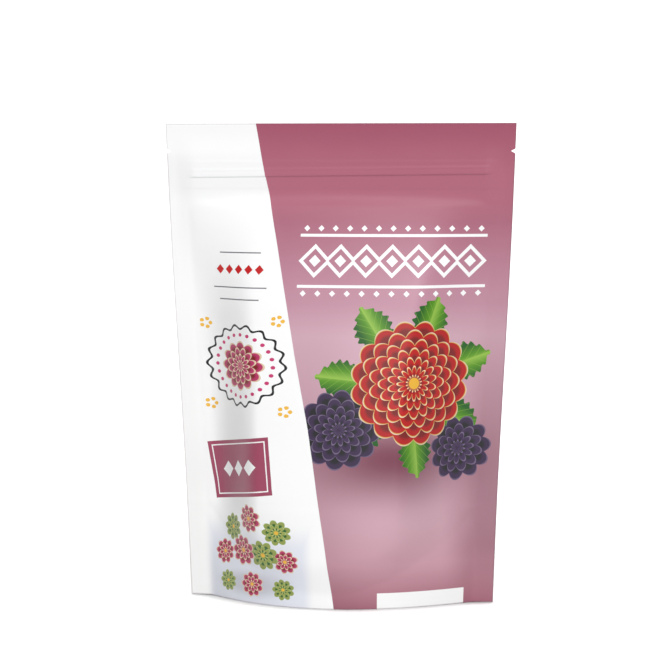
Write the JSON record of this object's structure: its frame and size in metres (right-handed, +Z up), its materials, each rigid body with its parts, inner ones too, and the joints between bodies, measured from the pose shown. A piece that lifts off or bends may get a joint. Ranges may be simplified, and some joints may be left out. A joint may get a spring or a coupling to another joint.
{
  "type": "stand-up pouch",
  "caption": "Closed stand-up film pouch with a press-to-close zipper and an opened bottom gusset, filled with freeze-dried fig halves.",
  "frame": {"origin": "on the floor, under the middle of the pouch's bounding box", "axes": "+Z up, from the bottom gusset to the header; +X to the viewer's right along the pouch's width; the printed front faces -Y"},
  "size_m": [0.15, 0.0696, 0.2],
  "materials": {
    "printed_film": "satin printed laminate",
    "gusset_film": "satin printed laminate",
    "zipper_plastic": "milky clear polyethylene",
    "dried_fig": "dry matte skin"
  },
  "bodies": {
    "root": {"front_panel": "printed_film", "back_panel": "printed_film", "bottom_gusset": "gusset_film", "zipper_groove_strip": "zipper_plastic", "zipper_rib_strip": "zipper_plastic", "fig_half_1": "dried_fig", "fig_half_2": "dried_fig", "fig_half_3": "dried_fig", "fig_half_4": "dried_fig", "fig_half_5": "dried_fig", "fig_half_6": "dried_fig", "fig_half_7": "dried_fig", "fig_half_8": "dried_fig", "fig_half_9": "dried_fig"}
  },
  "joints": []
}
